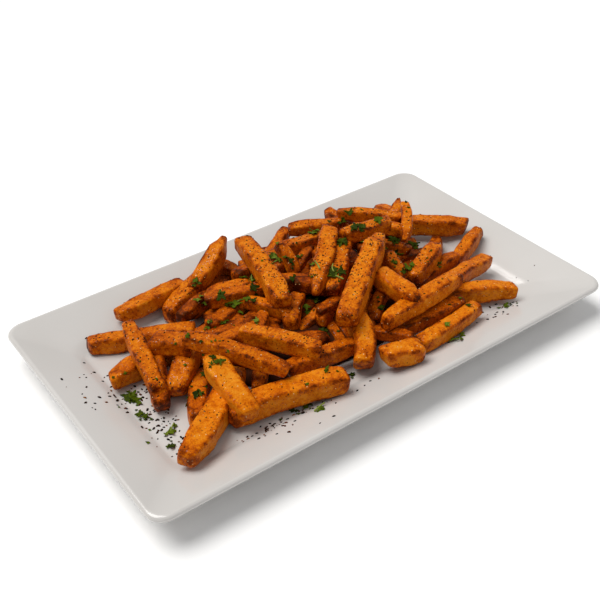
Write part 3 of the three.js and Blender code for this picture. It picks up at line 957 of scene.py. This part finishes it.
# x, y, the height that it lies below, half the width of each leaf, and how pale it is from 0 to 1
leaves = [
    (76, 13, 33, 3.8, 0.2), (49, 13, 52, 3.6, 0.45), (-44, 28, 27, 3.6, 0.3), (-50, 17, 23, 3.6, 0.3),
    (-40, 24, 29, 3.2, 0.35), (-37, 22, 29, 3.6, 0.35), (-33, 18, 33, 3.2, 0.25), (-49, 40, 25, 3.4, 0.5),
    (-26, 21, 33, 3.4, 0.2), (-17, 35, 28, 2.6, 0.7), (-22, 38, 32, 2.0, 0.4), (-59, 19, 27, 2.4, 0.45),
    (-45, 55, 32, 2.4, 0.35), (3, 43, 34, 3.6, 0.5), (4, 37, 35, 3.4, 0.5), (16, 34, 34, 2.2, 0.3),
    (6, 28, 38, 2.6, 0.05), (-3, 12, 36, 3.6, 0.05), (35, 43, 39, 3.8, 0.5), (60, 32, 24, 3.6, 0.25),
    (61, 29, 29, 3.4, 0.3), (61, 47, 36, 3.0, 0.45), (34, 14, 48, 3.6, 0.2), (13, -6, 43, 3.8, 0.3),
    (18, -7, 44, 3.4, 0.2), (4, 1, 23, 3.4, 0.6), (1, 3, 24, 3.2, 0.4), (-5, -7, 27, 3.4, 0.45),
    (75, 4, 26, 3.6, 0.3), (91, 11, 22, 3.4, 0.3), (58, -21, 36, 3.6, 0.5), (53, -14, 39, 1.8, 0.4),
    (81, -21, 36, 2.2, 0.3), (68, -56, 28, 3.4, 0.4), (27, -33, 30, 2.6, 0.05), (-94, -25, 22, 3.2, 0.1),
    (62, 13, 52, 3.4, 0.4), (44, 13, 52, 3.4, 0.25), (67, 46, 38, 3.0, 0.35), (74, 6, 30, 3.2, 0.15),
    (80, 18, 29, 3.2, 0.15), (-82, -14, 43, 2.0, 0.1), (-86, -7, 46, 1.8, 0.3), (-31, -57, 28, 1.6, 0.4),
    (-11, -54, 12, 2.0, 0.1), (-78, -26, 38, 3.0, 0.2), (-40, -4, 33, 2.8, 0.7), (-8, -22, 21, 2.6, 0.0),
    (-117, 2, 12, 3.6, 0.3), (-120, 5, 12, 3.4, 0.3), (-117, 6, 12, 3.0, 0.35), (-120, -10, 12, 3.0, 0.3),
    (-119, -14, 12, 2.0, 0.3), (-114, -32, 12, 3.2, 0.5), (-119, -42, 12, 2.4, 0.3), (51, -70, 16, 3.4, 0.5),
    (-44, -69, 16, 2.8, 0.4), (-54, -57, 11, 2.0, 0.3), (-47, -60, 11, 2.2, 0.3), (101, -62, 14, 2.6, 0.2),
]
# x, y, the height that it lies below, length and turn in degrees of each piece of stem
stems = [
    (-16, 37, 28, 6, 60), (16, -2, 44, 6, 58), (8, 3, 30, 8, 75), (-44, -68, 16, 8, 10), (14, -9, 43, 9, 100),
    (-34, 24, 32, 6, 30), (-112, -30, 12, 5, 40), (70, 2, 40, 6, 80),
]


def leafShape(size, rng):
    # a lobed, notched and curled leaf, bottom side first
    form = parsley
    around = form["around"]
    angle = 2 * np.pi * np.arange(around) / around
    reach = np.full(around, rng.uniform(*form["waist"]))
    for lobe in (-1, 0, 1):
        centre = lobe * rng.uniform(*form["lobeTurn"])
        wide = rng.uniform(*form["lobeWide"])
        off = (angle - centre + np.pi) % (2 * np.pi) - np.pi
        reach = np.maximum(reach, rng.uniform(*form["lobeReach"]) * np.exp(-((off / wide) ** 2)))
    notched = rng.integers(*form["notches"]) * angle + rng.uniform(0, form["phase"])
    reach = reach * (1 + form["notch"] * np.sin(notched))
    shares = np.array(form["rings"])
    x = size * shares[:, None] * reach * np.cos(angle)
    y = size * shares[:, None] * reach * np.sin(angle)
    far = shares[:, None] * reach
    fold = rng.uniform(*form["fold"])
    z = fold * np.abs(y) + size * form["wave"] * far**2 * np.sin(3 * angle + rng.uniform(0, form["phase"]))
    z = z + size * form["ripple"] * far**2 * np.sin(7 * angle + rng.uniform(0, form["phase"]))
    z = z - rng.uniform(*form["curl"]) * size * far**2
    half = form["thick"] / 2
    under = np.stack([x, y, z - half], -1)
    over = np.stack([x, y, z + half], -1)[::-1]
    points = [np.array([[0, 0, -half]]), under.reshape(-1, 3), over.reshape(-1, 3), np.array([[0, 0, half]])]
    return np.concatenate(points)


def stemShape(length, rng):
    count, around = stem["rings"], stem["around"]
    t = np.linspace(0, 1, count)
    bend = rng.uniform(-stem["bend"], stem["bend"]) * length
    middle = np.stack([(t - 0.5) * length, bend * 4 * t * (1 - t), stem["radius"] + stem["rise"] * t], -1)
    angle = 2 * np.pi * np.arange(around) / around
    radius = stem["radius"] * (1 - stem["taper"] * t)[:, None]
    ring = np.stack([np.zeros((count, around)), radius * np.cos(angle), radius * np.sin(angle)], -1)
    points = middle[:, None, :] + ring
    return np.concatenate([middle[:1], points.reshape(-1, 3), middle[-1:]])


def turned(points, normal, turn, tilt, rng):
    # the shape turned about its own upright, tipped, and set on a surface's slant
    cosT, sinT = math.cos(turn), math.sin(turn)
    spun = points @ np.array([[cosT, sinT, 0], [-sinT, cosT, 0], [0, 0, 1]])
    lean = rng.uniform(0, 2 * math.pi)
    up = np.array(normal) + tilt * np.array([math.cos(lean), math.sin(lean), 0])
    up /= np.linalg.norm(up)
    side = np.cross([0.0, 1.0, 0.0], up)
    side /= np.linalg.norm(side)
    return spun @ np.array([side, np.cross(up, side), up])


def surfaceBelow(objects):
    # what lies lower than a place: its point and slant, from the finished meshes
    points, faces, count = [], [], 0
    for made in objects:
        mesh = made.data
        points += [v.co / mm for v in mesh.vertices]
        faces += [[count + i for i in face.vertices] for face in mesh.polygons]
        count += len(mesh.vertices)
    tree = BVHTree.FromPolygons(points, faces)
    top = 200

    def below(x, y, high=top):
        at, normal = tree.ray_cast(Vector((x, y, high)), Vector((0, 0, -1)))[:2]
        # a place inside a fry counts as one on its top
        return (at, normal) if high == top or normal.z > 0 else below(x, y)

    return below


def leafMaterial():
    shade = Shade("parsley_leaf")
    pale = shade.attribute("pale")
    vein = shade.noise(1.1, 3, 0.6)
    patch = shade.noise(4, 2)
    tone = 0.7 * pale + 0.5 * (vein - 0.35) + 0.35 * (patch - 0.45)
    colour = shade.ramp(
        tone,
        [
            (0.0, (0.010, 0.017, 0.0005)),
            (0.25, (0.033, 0.050, 0.001)),
            (0.55, (0.095, 0.135, 0.004)),
            (1.0, (0.36, 0.42, 0.10)),
        ],
    )
    sockets = {"Base Color": colour, "Roughness": 0.5 + 0.2 * vein, "Specular IOR Level": 0.06}
    return shade.finish(sockets, vein, 0.25, 0.7)


def makeParsley(below, material):
    rng = np.random.default_rng(parsley["seed"])
    points, faces, pale = [], [], []
    count = 0

    def add(shape, rings, around, tone):
        nonlocal count
        points.append(shape)
        faces.extend(ringFaces(rings, around, count))
        pale.append(np.full(len(shape), tone))
        count += len(shape)

    form = parsley
    rings = 2 * len(form["rings"])
    for x, y, high, size, tone in leaves:
        size = size * form["size"]
        pieces = [(x, y, size)]
        for _ in range(form["beside"]):
            dx, dy = rng.normal(0, form["besideWay"] * size, 2)
            pieces.append((x + dx, y + dy, size * rng.uniform(*form["besideSize"])))
        for px, py, wide in pieces:
            at, normal = below(px, py, high)
            slant = np.array(normal) * form["follow"] + np.array([0, 0, form["upright"]])
            shape = leafShape(wide, rng)
            shape = turned(shape, slant, rng.uniform(0, form["anyTurn"]), rng.uniform(0, form["tilt"]), rng)
            lift = form["lift"] + form["liftEach"] * wide
            shade = tone + rng.uniform(-form["paleRange"], form["paleRange"])
            add(shape + np.array(at) + [0, 0, lift], rings, form["around"], shade)
    for _ in range(form["bits"]):
        x, y, high, size, tone = leaves[rng.integers(0, len(leaves))]
        x, y = np.array([x, y]) + rng.normal(0, form["strewn"], 2)
        at, normal = below(x, y)
        if at is None or abs(x) > form["edgeX"] or abs(y) > form["edgeY"]:
            continue
        shape = leafShape(rng.uniform(*form["bitSize"]), rng)
        slant = np.array(normal) + [0, 0, form["bitLift"]]
        shape = turned(shape, slant, rng.uniform(0, form["anyTurn"]), rng.uniform(0, form["bitTilt"]), rng)
        shape = shape + np.array(at) + [0, 0, form["bitLift"]]
        add(shape, rings, form["around"], rng.uniform(0, form["bitPale"]))
    for x, y, high, length, turn in stems:
        at, normal = below(x, y, high)
        slant = np.array(normal) + [0, 0, form["upright"]]
        shape = turned(stemShape(length, rng), slant, math.radians(turn), stem["tilt"], rng)
        add(shape + np.array(at) + [0, 0, stem["lift"]], stem["rings"], stem["around"], stem["pale"])
    return meshObject("parsley", np.concatenate(points), faces, material, {"pale": np.concatenate(pale)})


def grainObject(name, flat):
    # one rough grain of pepper or of crumb, 1 mm across before it is flattened; the pale crumbs also stand in
    # as painted glints
    rng = np.random.default_rng(seasoning["grainSeed"])
    rings, around = 3, 6
    points = [(0, 0, -0.5)]
    for r in range(rings):
        lean = -0.9 + 0.9 * r
        for k in range(around):
            a = 2 * math.pi * (k + 0.5 * r) / around
            reach = 0.5 * math.cos(lean) * rng.uniform(0.7, 1.15)
            points.append((reach * math.cos(a), reach * math.sin(a), 0.5 * math.sin(lean)))
    points.append((0, 0, 0.5))
    shape = np.array(points) * np.array(flat)
    return meshObject(name, shape, ringFaces(rings, around), None)


def strewTree():
    tree = bpy.data.node_groups.new("strewn_grains", "GeometryNodeTree")
    face = tree.interface
    for name, kind in (
        ("Geometry", "Geometry"),
        ("Grain", "Object"),
        ("Density", "Float"),
        ("Where", "String"),
        ("Smallest", "Float"),
        ("Largest", "Float"),
        ("Seed", "Int"),
        ("Material", "Material"),
    ):
        face.new_socket(name=name, in_out="INPUT", socket_type="NodeSocket" + kind)
    face.new_socket(name="Geometry", in_out="OUTPUT", socket_type="NodeSocketGeometry")

    def node(kind, settings=None, sockets=None):
        return newNode(tree, kind, settings, sockets)

    given = node("NodeGroupInput").outputs
    where = node("GeometryNodeInputNamedAttribute", {"data_type": "FLOAT"}, {"Name": given["Where"]})
    dense = node("ShaderNodeMath", {"operation": "MULTIPLY"}, {0: given["Density"], 1: where.outputs[0]})
    sockets = {"Mesh": given["Geometry"], "Density": dense.outputs[0], "Seed": given["Seed"]}
    spread = node("GeometryNodeDistributePointsOnFaces", {"distribute_method": "RANDOM"}, sockets)
    sockets = {2: given["Smallest"], 3: given["Largest"], "Seed": given["Seed"]}
    size = node("FunctionNodeRandomValue", {"data_type": "FLOAT"}, sockets)
    spin = node("FunctionNodeRandomValue", {"data_type": "FLOAT"}, {2: 0.0, 3: 6.28, "Seed": 11})
    turn = node("FunctionNodeAxisAngleToRotation", None, {"Axis": (0, 0, 1), "Angle": spin.outputs[1]})
    sockets = {"Rotation": spread.outputs["Rotation"], "Rotate By": turn.outputs[0]}
    facing = node("FunctionNodeRotateRotation", {"rotation_space": "LOCAL"}, sockets)
    grain = node("GeometryNodeObjectInfo", None, {"Object": given["Grain"]})
    sockets = {"Points": spread.outputs["Points"], "Instance": grain.outputs["Geometry"]}
    sockets["Rotation"] = facing.outputs[0]
    sockets["Scale"] = size.outputs[1]
    placed = node("GeometryNodeInstanceOnPoints", None, sockets)
    tone = node("FunctionNodeRandomValue", {"data_type": "FLOAT"}, {2: 0.0, 3: 1.0, "Seed": 29})
    sockets = {"Geometry": placed.outputs[0], "Name": "pale", "Value": tone.outputs[1]}
    toned = node("GeometryNodeStoreNamedAttribute", {"data_type": "FLOAT", "domain": "INSTANCE"}, sockets)
    real = node("GeometryNodeRealizeInstances", None, {"Geometry": toned.outputs[0]})
    sockets = {"Geometry": real.outputs[0], "Material": given["Material"]}
    finish = node("GeometryNodeSetMaterial", None, sockets)
    node("NodeGroupOutput", None, {"Geometry": finish.outputs[0]})
    return tree


def strewn(name, tree, on, inputs):
    # the grains that the tree strews on a mesh, as a plain mesh of their own
    bearer = bpy.data.objects.new(name + "_bearer", on)
    scene.collection.objects.link(bearer)
    modifier = bearer.modifiers.new("strew", "NODES")
    modifier.node_group = tree
    for item in tree.interface.items_tree:
        if item.in_out == "INPUT" and item.name in inputs:
            modifier[item.identifier] = inputs[item.name]
    bpy.context.view_layer.update()
    graph = bpy.context.evaluated_depsgraph_get()
    mesh = bpy.data.meshes.new_from_object(bearer.evaluated_get(graph))
    bearer.modifiers.clear()
    bpy.data.objects.remove(bearer)
    mesh.name = name
    made = bpy.data.objects.new(name, mesh)
    scene.collection.objects.link(made)
    print(name, len(mesh.polygons), "faces")
    return made


def grainMaterial(name, stops, rough):
    shade = Shade(name)
    tone = shade.attribute("pale")
    spot = shade.noise(0.5, 2)
    colour = shade.ramp(tone + 0.3 * (spot - 0.5), stops)
    sockets = {"Base Color": colour, "Roughness": rough + 0.1 * spot, "Specular IOR Level": 0.1}
    return shade.finish(sockets, spot, 0.1, 0.5)


# how many grains lie on a square metre where the attribute strewn is 1, and their sizes in mm
seasoning = {
    "pepper": {"Density": 175000.0, "Smallest": 0.6, "Largest": 1.75},
    # pale crumbs, partly real crumbs and partly painted glints
    "crumbsAndGlints": {"Density": 26000.0, "Smallest": 0.6, "Largest": 1.3},
    "pepperBeside": {"Density": 170000.0, "Smallest": 0.9, "Largest": 2.8},
    "seeds": (5, 40, 77),
    "grainSeed": 3,
    "flake": (1.0, 0.65, 0.4),
    "crumb": (0.75, 0.65, 0.55),
    "steepest": 0.25,  # the least upward share of a normal where grains lie
    "steepRange": 0.5,
    "patch": 9,
    "even": 0.35,
    "uneven": 1.3,
    "net": {"cell": 3, "x": (-147, 148), "y": (-84, 85), "lift": 0.05},
}
# x, y, the reach each way, and how thick the pepper lies there
pepperOnPlatter = [
    (-128, 30, 6, 9, 0.35), (-124, 6, 6, 10, 0.6), (-115, 2, 8, 8, 1.0), (-111, -10, 5, 9, 0.8),
    (-113, -22, 7, 9, 1.0), (-117, -38, 5, 7, 0.7), (-84, -60, 9, 3, 0.9), (-70, -63, 11, 4, 1.3),
    (-56, -63, 8, 4, 0.9), (-42, -67, 10, 3, 0.6), (-15, -69, 8, 3, 0.4), (86, -65, 14, 3, 0.5),
    (101, -63, 7, 4, 0.8), (116, -50, 6, 9, 0.25), (-138, 20, 6, 14, 0.12), (20, -73, 10, 2, 0.25),
    (0, 0, 150, 86, 0.012),
]


def platterBearer():
    # a fine net over the platter's upper side that says how much pepper lies where
    net = seasoning["net"]
    xs = np.arange(*net["x"], net["cell"])
    ys = np.arange(*net["y"], net["cell"])
    gx, gy = np.meshgrid(xs, ys, indexing="ij")
    z = platterTop(gx, gy) + net["lift"]
    dense = np.zeros_like(z, dtype=float)
    for x, y, rx, ry, amount in pepperOnPlatter:
        far = ((gx - x) / rx) ** 2 + ((gy - y) / ry) ** 2
        dense = np.maximum(dense, amount * np.exp(-far))
    rows = len(ys)
    faces = []
    for i in range(len(xs) - 1):
        for j in range(rows - 1):
            k = i * rows + j
            faces.append((k, k + rows, k + rows + 1, k + 1))
    points = np.stack([gx, gy, z], -1).reshape(-1, 3)
    return meshObject("bearer_net", points, faces, None, {"strewn": dense.reshape(-1)})


def markSeasoned(made):
    # how much pepper lies at each point of the fries: only on what faces up
    mesh = made.data
    count = len(mesh.vertices)
    normal = np.zeros(count * 3, np.float32)
    mesh.vertex_normals.foreach_get("vector", normal)
    place = np.zeros(count * 3, np.float32)
    mesh.vertices.foreach_get("co", place)
    pepper = np.zeros(count, np.float32)
    mesh.attributes["pepper"].data.foreach_get("value", pepper)
    given = seasoning
    up = np.clip((normal.reshape(-1, 3)[:, 2] - given["steepest"]) / given["steepRange"], 0, 1)
    patch = softNoise(place.reshape(-1, 3) / mm, given["patch"]) * 0.5 + 0.5
    amount = pepper * up * (given["even"] + given["uneven"] * patch**2)
    attribute = mesh.attributes.new("strewn", "FLOAT", "POINT")
    attribute.data.foreach_set("value", amount.astype(np.float32))


def makeSeasoning(bearers):
    tree = strewTree()
    flake = grainObject("flake", seasoning["flake"])
    crumb = grainObject("crumb", seasoning["crumb"])
    stops = [(0.0, (0.006, 0.003, 0.001)), (0.6, (0.028, 0.009, 0.003)), (0.85, (0.10, 0.022, 0.006))]
    dark = grainMaterial("pepper_grains", stops + [(1.0, (0.22, 0.08, 0.02))], 0.5)
    # pale grains: crumbs that also serve as painted glints
    stops = [(0.0, (0.55, 0.24, 0.05)), (0.6, (0.75, 0.42, 0.14)), (1.0, (0.86, 0.64, 0.36))]
    pale = grainMaterial("pale_crumbs", stops, 0.4)
    for made in bearers:
        markSeasoned(made)
    net = platterBearer()
    shared = {"Grain": flake, "Where": "strewn", "Material": dark}
    pepperSeed, crumbSeed, besideSeed = seasoning["seeds"]
    made = []
    for n, bearer in enumerate(bearers):
        inputs = {**shared, **seasoning["pepper"], "Seed": pepperSeed + n}
        made.append(strewn("pepper_" + bearer.name, tree, bearer.data, inputs))
        inputs = {**shared, **seasoning["crumbsAndGlints"], "Grain": crumb, "Material": pale, "Seed": crumbSeed + n}
        made.append(strewn("crumbs_" + bearer.name, tree, bearer.data, inputs))
    inputs = {**shared, **seasoning["pepperBeside"], "Seed": besideSeed}
    made.append(strewn("pepper_on_platter", tree, net.data, inputs))
    for spare in (net, flake, crumb):
        bpy.data.objects.remove(spare)
    return made


below = surfaceBelow([*heapPieces, dish])
herbs = makeParsley(below, leafMaterial())
print("parsley made")
strewnOn = makeSeasoning(heapPieces[:3])
print("seasoning made")

floorSize = {"half": 4000, "drop": 0.2}


def makeFloor():
    shade = Shade("pale_floor")
    cloud = shade.noise(300, 2)
    colour = shade.mix(cloud, (0.93, 0.93, 0.93), (0.95, 0.95, 0.95))
    material = shade.finish({"Base Color": colour, "Roughness": 0.8})
    h = floorSize["half"]
    made = meshObject("floor", [(-h, -h, 0), (h, -h, 0), (h, h, 0), (-h, h, 0)], [(0, 1, 2, 3)], material)
    made.location.z = -floorSize["drop"] * mm
    return made


makeFloor()

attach(dish, "root")
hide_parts("platter")
for piece in heapPieces:
    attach(piece, "root")
    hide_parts("fries")
for piece in [herbs, *strewnOn]:
    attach(piece, "root")
